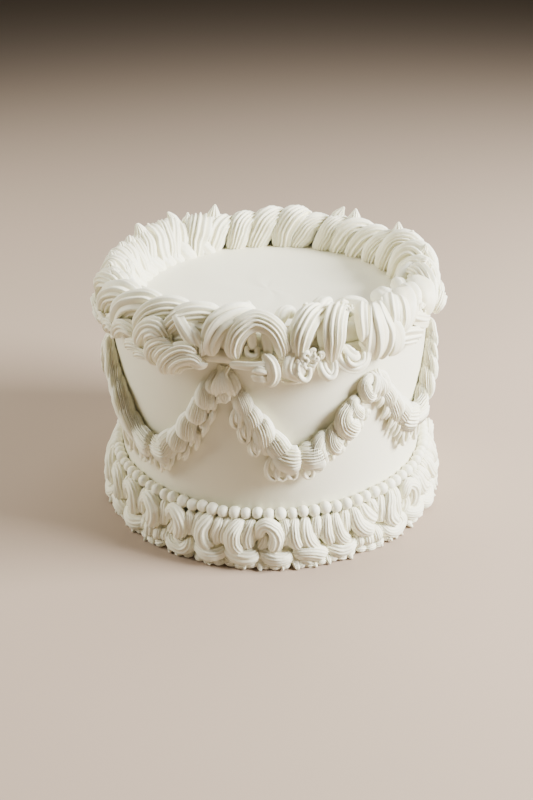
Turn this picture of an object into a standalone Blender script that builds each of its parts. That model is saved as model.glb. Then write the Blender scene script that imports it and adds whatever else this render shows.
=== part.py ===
"""A round buttercream cake with piped rim, swags, bead string and double base border.

The cake stands on z = 0 with its axis on +Z. Angles round the cake are measured from the
front (-Y) towards +X. All sizes are in metres.
"""

import math
import random

import bmesh
import bpy
from mathutils import Vector

# Cake coat
BODY_RADIUS = 0.078
BODY_HEIGHT = 0.105
EDGE_ROUND = 0.0045
EDGE_STEPS = 2
BODY_SIDES = 84

# Every piped piece stays this far off the coat and off its neighbours
GAP = 0.00035

# Rim rope: bands of cream laid over the cake's top edge
RIM_BANDS = 34
RIM_CENTRE = (0.0735, 0.1150)
RIM_OUT = 0.0102
RIM_UP = 0.0130
RIM_IN = 0.0098
RIM_SLANT = math.radians(11)
RIM_UNDERSIDE = (0.0798, 0.1062)
RIM_FEET = (0.0672, 0.0772)
FRONT_STRETCH = 0.14

# Shells hanging from the rim, on the side of the cake
UNDER_BANDS = 34
UNDER_CENTRE = (0.0828, 0.1010)
UNDER_OUT = 0.0054
UNDER_IN = 0.0044
UNDER_UP = 0.0062
UNDER_FOOT = 0.0962
UNDER_SLANT = math.radians(7)

# Swags: (angle in degrees, height of the centre line) where they meet and where each hangs lowest
PEAKS = (
    (-76.0, 0.0845),
    (-14.5, 0.0868),
    (36.0, 0.0840),
    (86.0, 0.0855),
    (136.0, 0.0848),
    (185.0, 0.0860),
    (234.5, 0.0850),
    (284.0, 0.0845),
)
LOWS = (
    (-39.5, 0.0540),
    (5.5, 0.0575),
    (55.0, 0.0580),
    (111.0, 0.0560),
    (160.0, 0.0575),
    (211.0, 0.0550),
    (259.0, 0.0565),
)
SWAG_CURVE = 1.5
SWAG_MITRE = 0.0084
SWAG_HALF_WIDTH = 0.0066
SWAG_END_WIDTH = 0.62
SWAG_WIDENING = 0.018
SWAG_HEIGHT = 0.0068
SWAG_SCALLOP = 0.0090
SWAG_PATH_STEPS = 240

# String of pearls above the base border
PEARL_COUNT = 95
PEARL_RADIUS = 0.00275
PEARL_CENTRE = (0.0807, 0.0262)
PEARL_NECK = 0.58

# Base border: a row of shells over a flared ruffle
SHELL_BANDS = 33
SHELL_CENTRE = (0.0832, 0.0172)
SHELL_OUT = 0.0053
SHELL_IN = 0.0048
SHELL_UP = 0.0052
SHELL_SEAM = 0.0119
SHELL_TOP = 0.0214
SHELL_SLANT = math.radians(6)
RUFFLE_FOLDS = 33
RUFFLE_TOP = 0.0114
RUFFLE_WAIST = 0.0838
RUFFLE_HEM = 0.0880
RUFFLE_WAVE = 0.0027

SIZE_SPREAD = 0.06
BAND_JITTER = 0.10


def clear_scene():
    for obj in list(bpy.data.objects):
        bpy.data.objects.remove(obj, do_unlink=True)


def cream(name, colour, roughness):
    material = bpy.data.materials.new(name)
    material.use_nodes = True
    shader = material.node_tree.nodes["Principled BSDF"]
    shader.inputs["Base Color"].default_value = (*colour, 1.0)
    shader.inputs["Roughness"].default_value = roughness
    shader.inputs["Metallic"].default_value = 0.0
    return material


def place(name, bm, material, sharp_angle=35):
    """Turns a bmesh into a named, smoothly shaded object."""
    bmesh.ops.recalc_face_normals(bm, faces=bm.faces)
    mesh = bpy.data.meshes.new(name)
    bm.to_mesh(mesh)
    bm.free()
    mesh.shade_smooth()
    mesh.set_sharp_from_angle(angle=math.radians(sharp_angle))
    mesh.materials.append(material)
    obj = bpy.data.objects.new(name, mesh)
    bpy.context.scene.collection.objects.link(obj)
    return obj


def polar(radius, angle, height):
    return Vector((radius * math.sin(angle), -radius * math.cos(angle), height))


def skin(loops, closed):
    """A solid through equal loops of points: joined end to end as a ring, or capped at both ends."""
    bm = bmesh.new()
    rows = [[bm.verts.new(point) for point in loop] for loop in loops]
    sides = len(rows[0])
    pairs = list(zip(rows, rows[1:]))
    if closed:
        pairs.append((rows[-1], rows[0]))
    for near, far in pairs:
        for k in range(sides):
            after = (k + 1) % sides
            bm.faces.new((near[k], near[after], far[after], far[k]))
    if not closed:
        bm.faces.new(rows[0])
        bm.faces.new(reversed(rows[-1]))
    return bm


def uneven(rng, spread=SIZE_SPREAD):
    return 1.0 + rng.uniform(-spread, spread)


def band_columns(count, profile, rng):
    """(angle, swell) of each column of a ring of bands, whose widths vary a little and grow to the front.

    profile gives the swell at even steps across one band, starting in the groove before it.
    """
    pitch = math.tau / count
    edges = [pitch * (i + BAND_JITTER * rng.uniform(-1, 1)) for i in range(count)]
    edges.append(edges[0] + math.tau)
    sizes = [uneven(rng) for _ in range(count)]
    columns = []
    for start, end, size in zip(edges, edges[1:], sizes):
        for step, swell in enumerate(profile):
            turn = start + (end - start) * step / len(profile)
            angle = turn + FRONT_STRETCH * math.sin(turn)
            scale = swell if step == 0 else swell * size
            columns.append((angle, scale))
    return columns


def oval(centre, out, up, inner, down, degrees):
    """Section points (radius, height, free) on an egg shape with a size of its own each way."""
    points = []
    for turn in degrees:
        direction = math.radians(turn)
        across = out if math.cos(direction) > 0 else inner
        upright = up if math.sin(direction) > 0 else down
        reach = 1 / math.hypot(math.cos(direction) / across, math.sin(direction) / upright)
        radius = centre[0] + reach * math.cos(direction)
        height = centre[1] + reach * math.sin(direction)
        points.append((radius, height, True))
    return points


def banded_ring(name, bands, profile, centre, section, slant, hold, seed, material):
    """A ring-shaped solid of slanting bands.

    Free section points swell about the centre with the bands, and the others stay where they are.
    hold(radius, height) keeps a free point's height clear of the piece above or below.
    """
    rng = random.Random(seed)
    wall = BODY_RADIUS + GAP
    loops = []
    for angle, swell in band_columns(bands, profile, rng):
        loop = []
        for radius, height, free in section:
            lean = slant * (radius - centre[0]) / math.hypot(radius - centre[0], height - centre[1])
            if free:
                radius = centre[0] + (radius - centre[0]) * swell
                height = hold(radius, centre[1] + (height - centre[1]) * swell)
            if centre[0] > wall:  # a ring beside the body keeps off its side
                radius = max(radius, wall)
            loop.append(polar(radius, angle - lean, height))
        loops.append(loop)
    return place(name, skin(loops, closed=True), material)


def cake_body(material):
    """The coated cake: straight side, softly rounded top edge, flat top and base."""
    profile = [(0.0, 0.0), (BODY_RADIUS, 0.0)]
    for step in range(EDGE_STEPS + 1):
        turn = math.pi / 2 * step / EDGE_STEPS
        profile.append(
            (
                BODY_RADIUS - EDGE_ROUND * (1 - math.cos(turn)),
                BODY_HEIGHT - EDGE_ROUND * (1 - math.sin(turn)),
            )
        )
    bm = bmesh.new()
    rings = [
        [bm.verts.new(polar(r, math.tau * k / BODY_SIDES, z)) for k in range(BODY_SIDES)]
        for r, z in profile[1:]
    ]
    for lower, upper in zip(rings, rings[1:]):
        for k in range(BODY_SIDES):
            after = (k + 1) % BODY_SIDES
            bm.faces.new((lower[k], lower[after], upper[after], upper[k]))
    bm.faces.new(rings[0])
    bm.faces.new(rings[-1])
    return place("cake_body", bm, material)


def rim_rope(material):
    """Slanting bands of cream over the cake's top edge."""
    floor = BODY_HEIGHT + GAP
    section = [(radius, floor, False) for radius in RIM_FEET]
    section.append((*RIM_UNDERSIDE, False))
    section += oval(
        RIM_CENTRE, RIM_OUT, RIM_UP, RIM_IN, RIM_IN, (-22, 12, 42, 70, 96, 122, 150, 180, 208)
    )
    return banded_ring(
        "rim_rope", RIM_BANDS, (0.76, 0.96, 0.92, 1.04, 0.94), RIM_CENTRE, section, RIM_SLANT,
        lambda radius, height: max(height, floor), 11, material,
    )


def under_rim(radius):
    """The height that a piece under the rim may reach at this distance from the cake's axis."""
    return RIM_UNDERSIDE[1] - 3 * GAP + 0.8 * max(0.0, radius - RIM_UNDERSIDE[0] - 2 * GAP)


def rim_under_shells(material):
    """The smaller shells that hang from the rim rope, against the side."""
    wall = BODY_RADIUS + GAP
    section = [(wall, under_rim(wall), False), (wall, UNDER_FOOT, False)]
    section += oval(UNDER_CENTRE, UNDER_OUT, UNDER_UP, UNDER_IN, UNDER_UP, (-108, -66, -24, 18, 60, 100))
    return banded_ring(
        "rim_under_shells", UNDER_BANDS, (0.70, 1.0, 0.92), UNDER_CENTRE, section, UNDER_SLANT,
        lambda radius, height: min(height, under_rim(radius)), 23, material,
    )


def pearl_string(material):
    """A string of round beads of cream, fused where they touch."""
    rng = random.Random(31)
    pitch = math.tau / PEARL_COUNT
    wall = BODY_RADIUS + GAP
    rows = 5
    loops = []
    for bead in range(PEARL_COUNT):
        size = uneven(rng, 0.05)
        for offset, swell in ((-0.5, PEARL_NECK), (-0.22, 0.92 * size), (0.22, 0.92 * size)):
            angle = pitch * (bead + offset)
            loop = []
            for row in range(rows):
                direction = math.tau * row / rows
                reach = PEARL_RADIUS * swell
                radius = PEARL_CENTRE[0] + reach * math.cos(direction)
                height = PEARL_CENTRE[1] + reach * math.sin(direction)
                loop.append(polar(max(radius, wall), angle, height))
            loops.append(loop)
    return place("pearl_string", skin(loops, closed=True), material, 60)


def base_shells(material):
    """The upper row of the base border, between the pearls and the ruffle."""
    wall = BODY_RADIUS + GAP
    section = [(wall, SHELL_TOP, False), (wall, SHELL_SEAM, False)]
    section += oval(SHELL_CENTRE, SHELL_OUT, SHELL_UP, SHELL_IN, SHELL_UP, (-95, -52, -18, 20, 60, 104))
    return banded_ring(
        "base_shells", SHELL_BANDS, (0.70, 1.0, 0.92), SHELL_CENTRE, section, SHELL_SLANT,
        lambda radius, height: max(height, SHELL_SEAM), 41, material,
    )


def base_ruffle(material):
    """The flared ruffle that the base border ends in, standing on z = 0."""
    rng = random.Random(47)
    wall = BODY_RADIUS + GAP
    loops = []
    for angle, swell in band_columns(RUFFLE_FOLDS, (-1.0, 0.75, 1.0), rng):
        wave = RUFFLE_WAVE * swell
        section = (
            (wall, 0.0),
            (RUFFLE_HEM + wave, 0.0),
            (RUFFLE_HEM + 1.1 * wave, 0.0028),
            (RUFFLE_HEM - 0.0010 + wave, 0.0072),
            (RUFFLE_WAIST + 0.3 * wave, RUFFLE_TOP),
            (wall, RUFFLE_TOP),
        )
        loops.append([polar(radius, angle, height) for radius, height in section])
    return place("base_ruffle", skin(loops, closed=True), material)


def swag_stations(first_peak, low, last_peak):
    """Points (angle, height, distance to the nearer end) along a swag's centre line.

    The first and last lie where it meets its neighbours, and the rest are evenly spaced.
    """
    start, bottom, end = (math.radians(point[0]) for point in (first_peak, low, last_peak))
    dense = []
    for step in range(SWAG_PATH_STEPS + 1):
        angle = start + (end - start) * step / SWAG_PATH_STEPS
        top, reach = (last_peak[1], end - bottom) if angle > bottom else (first_peak[1], start - bottom)
        rise = abs((angle - bottom) / reach) ** SWAG_CURVE
        dense.append((angle, low[1] + (top - low[1]) * rise))
    lengths = [0.0]
    for (a0, z0), (a1, z1) in zip(dense, dense[1:]):
        lengths.append(lengths[-1] + math.hypot((a1 - a0) * BODY_RADIUS, z1 - z0))
    whole = lengths[-1]
    spans = 2 * round((whole - 2 * SWAG_MITRE) / SWAG_SCALLOP)
    wanted = [SWAG_MITRE + (whole - 2 * SWAG_MITRE) * i / spans for i in range(spans + 1)]
    stations = []
    at = 0
    for distance in [0.0, *wanted, whole]:
        while at < SWAG_PATH_STEPS - 1 and lengths[at + 1] < distance:
            at += 1
        share = (distance - lengths[at]) / (lengths[at + 1] - lengths[at])
        angle = dense[at][0] + share * (dense[at + 1][0] - dense[at][0])
        height = dense[at][1] + share * (dense[at + 1][1] - dense[at][1])
        stations.append((angle, height, min(distance, whole - distance)))
    return stations


def swag(number, first_peak, low, last_peak, material):
    """One scalloped garland on the side of the cake, cut upright where it meets its neighbours."""
    rng = random.Random(60 + number)
    wall = BODY_RADIUS + GAP
    stations = swag_stations(first_peak, low, last_peak)
    last = len(stations) - 1
    section = ((-1.0, 0.0), (-0.86, 0.62), (-0.25, 0.97), (0.45, 0.90), (1.0, 0.48), (1.0, 0.0))
    loops = []
    for station, (angle, height, from_end) in enumerate(stations):
        before, after = stations[max(0, station - 1)], stations[min(last, station + 1)]
        along = Vector(((after[0] - before[0]) * BODY_RADIUS, after[1] - before[1])).normalized()
        across = Vector((along.y, -along.x))
        taper = SWAG_END_WIDTH + (1 - SWAG_END_WIDTH) * min(1.0, from_end / SWAG_WIDENING)
        at_end = station in (0, last)
        valley = at_end or station % 2 == 1
        swell = taper * uneven(rng, 0.0 if at_end else SIZE_SPREAD) * (0.84 if valley else 1.0)
        loop = []
        for side, lift in section:
            shift = across * (SWAG_HALF_WIDTH * swell * side)
            if at_end:
                shift -= along * (shift.x / along.x)
            turn = angle + shift.x / BODY_RADIUS
            if at_end:
                turn += GAP / BODY_RADIUS * (1 if station == 0 else -1)
            loop.append(polar(wall + SWAG_HEIGHT * swell * lift, turn, height + shift.y))
        loops.append(loop)
    return place(f"swag_{number}", skin(loops, closed=False), material)


def main():
    clear_scene()
    coat = cream("smooth_buttercream", (0.90, 0.875, 0.82), 0.5)
    piped = cream("piped_buttercream", (0.93, 0.915, 0.86), 0.45)
    cake_body(coat)
    rim_rope(piped)
    rim_under_shells(piped)
    for number, (first_peak, low, last_peak) in enumerate(zip(PEAKS, LOWS, PEAKS[1:]), start=1):
        swag(number, first_peak, low, last_peak, piped)
    pearl_string(piped)
    base_shells(piped)
    base_ruffle(piped)


main()
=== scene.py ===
import math
import random

import bmesh
import bpy
import numpy as np
from mathutils import Matrix, Vector


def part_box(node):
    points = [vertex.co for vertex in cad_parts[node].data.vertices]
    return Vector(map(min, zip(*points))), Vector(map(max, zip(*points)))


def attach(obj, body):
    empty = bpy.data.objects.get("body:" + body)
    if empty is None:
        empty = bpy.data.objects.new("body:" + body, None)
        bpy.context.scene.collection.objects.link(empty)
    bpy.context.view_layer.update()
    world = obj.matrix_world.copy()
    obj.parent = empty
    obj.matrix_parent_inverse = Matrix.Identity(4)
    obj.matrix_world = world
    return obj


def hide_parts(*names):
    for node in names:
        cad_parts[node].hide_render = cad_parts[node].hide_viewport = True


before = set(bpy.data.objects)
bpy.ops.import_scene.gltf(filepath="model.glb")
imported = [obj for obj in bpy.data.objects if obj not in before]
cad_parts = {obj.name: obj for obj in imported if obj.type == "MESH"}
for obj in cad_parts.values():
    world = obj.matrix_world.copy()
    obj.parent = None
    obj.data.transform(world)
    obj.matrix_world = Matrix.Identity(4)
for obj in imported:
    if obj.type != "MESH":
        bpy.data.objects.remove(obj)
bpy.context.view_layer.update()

# Angles go round the cake in degrees, from the front towards +X. Sizes are in millimetres
# until a point is placed, and metres from there on.
mm = 0.001
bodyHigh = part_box("cake_body")[1]
cakeRadius = bodyHigh.x / mm
cakeHeight = bodyHigh.z / mm
rimCore = (73.6, 110.0)  # distance and height of the middle of the rim


class Number:  # a number socket that adds its own Math nodes
    def __init__(self, graph, socket):
        self.graph, self.socket = graph, socket

    def maths(self, operation, *others):
        return self.graph.maths(operation, self, *others)

    def __add__(self, other):
        return self.maths("ADD", other)

    def __rsub__(self, other):
        return self.graph.maths("SUBTRACT", other, self)

    def __mul__(self, other):
        return self.maths("MULTIPLY", other)

    def __truediv__(self, other):
        return self.maths("DIVIDE", other)

    def __pow__(self, other):
        return self.maths("POWER", other)

    __radd__, __rmul__ = __add__, __mul__


class Graph:  # a shader or geometry tree that is filled from Python
    def __init__(self, tree):
        self.tree = tree

    def add(self, kind, sockets=None, **settings):
        node = self.tree.nodes.new(kind)
        for name, value in settings.items():
            setattr(node, name, value)
        for name, value in (sockets or {}).items():
            if isinstance(value, Number):
                value = value.socket
            if isinstance(value, bpy.types.NodeSocket):
                self.tree.links.new(value, node.inputs[name])
            else:
                node.inputs[name].default_value = value
        return node

    def output(self, kind, sockets=None, which=0, **settings):
        return self.add(kind, sockets, **settings).outputs[which]

    def number(self, kind, sockets=None, which=0, **settings):
        return Number(self, self.output(kind, sockets, which, **settings))

    def maths(self, operation, *values):
        return self.number("ShaderNodeMath", dict(enumerate(values)), operation=operation)


def newObject(name, data):
    obj = bpy.data.objects.new(name, data)
    bpy.context.scene.collection.objects.link(obj)
    return obj


socketKinds = {int: "NodeSocketInt", float: "NodeSocketFloat", type(None): "NodeSocketMaterial"}


def newGeometryTree(name, inputs):  # inputs: the first value of each, and none for a material
    tree = bpy.data.node_groups.new(name, "GeometryNodeTree")
    for way in ("INPUT", "OUTPUT"):
        tree.interface.new_socket(name="Geometry", in_out=way, socket_type="NodeSocketGeometry")
    for label, value in inputs.items():
        socket = tree.interface.new_socket(name=label, in_out="INPUT", socket_type=socketKinds[type(value)])
        if value is not None:
            socket.default_value = value
    graph = Graph(tree)
    return graph, graph.add("NodeGroupInput").outputs


def finishTree(graph, geometry, material):  # every tree ends in real, finished mesh
    smooth = graph.output("GeometryNodeSetShadeSmooth", {"Geometry": geometry})
    real = graph.output("GeometryNodeRealizeInstances", {"Geometry": smooth})
    finished = graph.output("GeometryNodeSetMaterial", {"Geometry": real, "Material": material})
    graph.add("NodeGroupOutput", {"Geometry": finished})
    return graph.tree


# Buttercream

creamLook = {
    "light": (0.9, 0.888, 0.74),
    "shade": (0.885, 0.862, 0.69),
    # painted shade: a darker, yellower colour laid into the grooves between the ridges, and how strongly and
    # narrowly it is laid
    "groove": (0.82, 0.765, 0.54),
    "grooveWeight": 0.85,
    "grooveFocus": 1.6,
    "patchSize": 38.0,
    "grainSize": 900.0,
    "grainDepth": 0.00009,
    "dragSize": 260.0,
    "dragDepth": 0.00016,
    "roughness": (0.4, 0.58),
    "glow": 0.1,
    "glowReach": 0.0006,
    "glowTint": (1.0, 0.82, 0.55),
    "refraction": 1.42,
}
coatLook = {
    **creamLook,
    "light": (0.838, 0.815, 0.66),
    "shade": (0.815, 0.785, 0.615),
    "patchSize": 22.0,
    "grainDepth": 0.00003,
    "dragSize": 60.0,
    "dragDepth": 0.00012,
}


def creamMaterial(name, look):
    material = bpy.data.materials.new(name)
    material.use_nodes = True
    graph = Graph(material.node_tree)
    shader = material.node_tree.nodes["Principled BSDF"]
    place = graph.output("ShaderNodeTexCoord", which="Object")

    def mottle(size, detail):
        return graph.number("ShaderNodeTexNoise", {"Vector": place, "Scale": size, "Detail": detail})

    def blend(share, first, second):
        return graph.output("ShaderNodeMix", {0: share, 6: first, 7: second}, 2, data_type="RGBA")

    patches = mottle(look["patchSize"], 3.0)
    grain = mottle(look["grainSize"], 2.0)
    drag = mottle(look["dragSize"], 2.0)
    # painted shade: the grooves of the piping are mixed towards a darker, yellower colour
    groove = graph.number("ShaderNodeAttribute", which="Fac", attribute_name="groove")
    colour = blend(patches, (*look["shade"], 1.0), (*look["light"], 1.0))
    colour = blend(groove ** look["grooveFocus"] * look["grooveWeight"], colour, (*look["groove"], 1.0))
    shiny, dull = look["roughness"]
    roughness = shiny + (dull - shiny) * grain
    relief = grain * look["grainDepth"] + drag * look["dragDepth"]
    bump = graph.output("ShaderNodeBump", {"Height": relief, "Strength": 1.0, "Distance": 1.0})
    links = material.node_tree.links
    links.new(colour, shader.inputs["Base Color"])
    links.new(roughness.socket, shader.inputs["Roughness"])
    links.new(bump, shader.inputs["Normal"])
    shader.inputs["Subsurface Weight"].default_value = look["glow"]
    shader.inputs["Subsurface Radius"].default_value = look["glowTint"]
    shader.inputs["Subsurface Scale"].default_value = look["glowReach"]
    shader.inputs["IOR"].default_value = look["refraction"]
    return material


pipedCream = creamMaterial("pipedButtercream", creamLook)
smoothCream = creamMaterial("smoothButtercream", coatLook)
print("buttercream mixed")


# Piping: a star-shaped bead of cream drawn along each stroke

def makePipingTree():
    graph, given = newGeometryTree("pipeStrokes", {
        "Teeth": 12, "Samples Per Tooth": 4, "Tooth Depth": 0.15, "Bluntness": 0.6, "Sharpness": 0.3,
        "Unevenness": 0.6, "Wobble": 0.0003, "Wobble Scale": 180.0, "Seed": 0, "Cream": None})

    def known(label):
        return Number(graph, given[label])

    def named(label, kind="FLOAT"):
        return graph.output("GeometryNodeInputNamedAttribute", {"Name": label}, data_type=kind)

    def store(geometry, label, value, kind="FLOAT"):
        return graph.output("GeometryNodeStoreNamedAttribute", {
            "Geometry": geometry, "Name": label, "Value": value}, data_type=kind, domain="POINT")

    def scaled(vector, factor):
        return graph.output("ShaderNodeVectorMath", {"Vector": vector, "Scale": factor}, operation="SCALE")

    def less(first, second):
        return graph.output("ShaderNodeVectorMath", {0: first, 1: second}, operation="SUBTRACT")

    # The star cut in the tip, with its grooves marked as the mask for the painted shade that the material
    # lays in them
    teeth, sharp = known("Teeth"), known("Sharpness")
    around = teeth * known("Samples Per Tooth")
    turn = graph.number("GeometryNodeInputIndex") / around * math.tau
    phase = teeth * turn * 0.5 + known("Unevenness") * (turn * 2.0 + 0.7).maths("SINE")
    lobe = phase.maths("COSINE").maths("ABSOLUTE") ** known("Bluntness")
    ridge = 1.0 - phase.maths("SINE").maths("ABSOLUTE") ** 0.85
    crest = lobe * (1.0 - sharp) + ridge * sharp
    swell = 1.0 - (1.0 - crest) * known("Tooth Depth")
    circle = graph.output("GeometryNodeCurvePrimitiveCircle", {"Resolution": around, "Radius": 1.0},
                          mode="RADIUS")
    position = graph.output("GeometryNodeInputPosition")
    star = graph.output("GeometryNodeSetPosition", {"Geometry": circle, "Position": scaled(position, swell)})
    star = store(star, "groove", 1.0 - crest)

    # The star drawn along each stroke, pressed flatter towards the cake and left a little uneven
    strokes = store(given["Geometry"], "centre", position, "FLOAT_VECTOR")
    strokes = graph.output("GeometryNodeMeshToCurve", {"Mesh": strokes})
    strokes = graph.output("GeometryNodeSetCurveRadius", {"Curve": strokes, "Radius": named("thickness")})
    strokes = graph.output("GeometryNodeSetCurveTilt", {"Curve": strokes, "Tilt": named("twist")})
    cream = graph.output("GeometryNodeCurveToMesh", {
        "Curve": strokes, "Profile Curve": star, "Fill Caps": True,
        "Scale": graph.output("GeometryNodeInputRadius")})
    outward = named("outward", "FLOAT_VECTOR")
    height = graph.number("ShaderNodeVectorMath", {
        0: less(position, named("centre", "FLOAT_VECTOR")), 1: outward}, "Value", operation="DOT_PRODUCT")
    press = scaled(outward, height * -1.0 * Number(graph, named("flatness")))
    cream = graph.output("GeometryNodeSetPosition", {"Geometry": cream, "Offset": press})
    noise = graph.output("ShaderNodeTexNoise", {
        "Vector": position, "W": given["Seed"], "Scale": given["Wobble Scale"], "Detail": 3.0,
        "Roughness": 0.45}, "Color", noise_dimensions="4D")
    shift = scaled(less(noise, (0.5, 0.5, 0.5)), given["Wobble"])
    cream = graph.output("GeometryNodeSetPosition", {"Geometry": cream, "Offset": shift})
    return finishTree(graph, cream, given["Cream"])


pipingTree = makePipingTree()


def runTree(obj, tree, values):  # the tree's result becomes the object's plain mesh
    modifier = obj.modifiers.new(tree.name, "NODES")
    modifier.node_group = tree
    for item in tree.interface.items_tree:
        if item.in_out == "INPUT" and item.name in values:
            modifier[item.identifier] = values[item.name]
    graph = bpy.context.evaluated_depsgraph_get()
    graph.update()
    made = bpy.data.meshes.new_from_object(obj.evaluated_get(graph))
    obj.modifiers.clear()
    guide, obj.data = obj.data, made
    bpy.data.meshes.remove(guide)
    made.name = obj.name


def faceOutwards(obj, floor=None):
    bm = bmesh.new()
    bm.from_mesh(obj.data)
    if floor is not None:  # nothing goes below it
        for vertex in bm.verts:
            vertex.co.z = max(vertex.co.z, floor)
    bmesh.ops.recalc_face_normals(bm, faces=bm.faces)
    bm.to_mesh(obj.data)
    bm.free()


def smoothRows(rows, steps, crowding=0.55):
    # A soft curve through the rows, its points closer together near both ends
    rows = np.array(rows, float)
    padded = np.vstack([2 * rows[0] - rows[1], rows, 2 * rows[-1] - rows[-2]])
    even = np.linspace(0, 1, steps)
    shares = (1 - crowding) * even + crowding * (0.5 - 0.5 * np.cos(math.pi * even))
    out = []
    for share in shares * (len(rows) - 1):
        i = min(int(share), len(rows) - 2)
        u = share - i
        a, b, c, d = padded[i:i + 4]
        out.append(0.5 * (2 * b + (c - a) * u + (2 * a - 5 * b + 4 * c - d) * u ** 2
                          + (3 * b - a - 3 * c + d) * u ** 3))
    return np.array(out)


def aroundAxis(turn, distance, height):
    return np.column_stack([distance * np.sin(turn), -distance * np.cos(turn), height])


def makeStroke(rows, steps=22, startRound=0.9, endRound=0.9, twist=0.0, swirl=0.0, flat=0.0):
    # rows: angle, height, distance from the axis, thickness
    path = smoothRows(rows, steps)
    points = aroundAxis(np.radians(path[:, 0]), path[:, 2], path[:, 1])
    run = np.concatenate([[0], np.cumsum(np.linalg.norm(np.diff(points, axis=0), axis=1))])
    thickness = path[:, 3].copy()
    for side, rounding in ((run, startRound), (run[-1] - run, endRound)):
        reach = max(rounding * thickness.max(), 1e-3)
        near = np.clip(1 - side / reach, 0, 1)
        thickness *= np.sqrt(np.clip(1 - near ** 2, 0.006, 1))
    return {
        "points": points * mm,
        "thickness": thickness * mm,
        "twist": twist + swirl * run / run[-1],
        "flatness": np.full(steps, flat),
        "outward": outwardFrom(path),
    }


def outwardFrom(path):  # away from the wall, and round the top edge away from the core of the rim
    core = np.column_stack([np.full(len(path), rimCore[0]), np.minimum(path[:, 1], rimCore[1])])
    away = path[:, [2, 1]] - core
    away /= np.maximum(np.linalg.norm(away, axis=1), 1e-6)[:, None]
    return aroundAxis(np.radians(path[:, 0]), away[:, 0], away[:, 1])


def pipe(name, strokes, tip, seed, floor=None):
    gathered = {key: np.concatenate([stroke[key] for stroke in strokes]) for key in strokes[0]}
    edges, first = [], 0
    for stroke in strokes:
        count = len(stroke["points"])
        edges.extend((first + i, first + i + 1) for i in range(count - 1))
        first += count
    mesh = bpy.data.meshes.new(name)
    mesh.from_pydata(gathered["points"].tolist(), edges, [])
    for label in ("thickness", "twist", "flatness"):
        mesh.attributes.new(label, "FLOAT", "POINT").data.foreach_set("value", gathered[label])
    outward = mesh.attributes.new("outward", "FLOAT_VECTOR", "POINT")
    outward.data.foreach_set("vector", gathered["outward"].ravel())
    obj = newObject(name, mesh)
    teeth, samples, depth, sharpness, unevenness, wobble, wobbleScale = tips[tip]
    runTree(obj, pipingTree, {
        "Teeth": teeth, "Samples Per Tooth": samples, "Tooth Depth": depth, "Bluntness": bluntness,
        "Sharpness": sharpness, "Unevenness": unevenness, "Wobble": wobble * mm,
        "Wobble Scale": float(wobbleScale), "Seed": seed, "Cream": pipedCream})
    for label in ("thickness", "twist", "flatness", "outward", "centre"):
        spent = obj.data.attributes.get(label)
        if spent:
            obj.data.attributes.remove(spent)
    faceOutwards(obj, floor)
    print(f"{name}: {len(strokes)} strokes, {len(obj.data.polygons)} faces")
    return obj


def join(name, objects):
    for other in objects[1:]:
        bm = bmesh.new()
        bm.from_mesh(objects[0].data)
        bm.from_mesh(other.data)
        bm.to_mesh(objects[0].data)
        bm.free()
        bpy.data.objects.remove(other)
    objects[0].name = name
    return objects[0]


def settle(obj, *nodes):  # the piece stands for these nodes of the frame
    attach(obj, "root")
    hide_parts(*nodes)


tips = {  # teeth, points to a tooth, depth, sharpness, unevenness, wobble and scale of the wobble
    "french": (12, 7, 0.3, 0.6, 0.8, 1.0, 140),
    "back": (15, 6, 0.33, 0.75, 1.1, 1.3, 140),
    "comb": (10, 6, 0.28, 0.8, 0.8, 1.2, 140),
    "bold": (12, 8, 0.3, 0.6, 1.2, 1.2, 140),
    "star": (5, 12, 0.3, 0.75, 0.5, 0.8, 140),
    "fine": (26, 4, 0.36, 0.55, 0.9, 1.4, 190),
    "cluster": (9, 8, 0.33, 0.5, 0.8, 1.0, 170),
    "ribbon": (6, 10, 0.2, 0.8, 0.4, 1.0, 140),
    "panel": (4, 14, 0.16, 0.9, 0.6, 1.1, 120),
    "shell": (14, 5, 0.26, 0.6, 0.9, 1.1, 190),
    "border": (14, 4, 0.2, 0.6, 1.1, 1.5, 190),
    "bulb": (5, 10, 0.12, 0.0, 0.8, 1.0, 140),
    "smear": (9, 5, 0.05, 0.6, 0.8, 1.6, 110),
    "foot": (12, 4, 0.34, 0.4, 0.8, 1.2, 260),
    "strand": (4, 4, 0.12, 0.6, 0.8, 0.5, 260),
}
bluntness = 0.65  # of every tip's teeth


# Coat

coat = {"sides": 240, "edgeRound": 4.5, "sideRows": 34, "topRings": 26, "seed": 5, "unevenness": 0.22,
        "waves": 14, "waveLengths": (20, 90), "topShare": 0.7, "fullTurn": 6.28}


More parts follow.
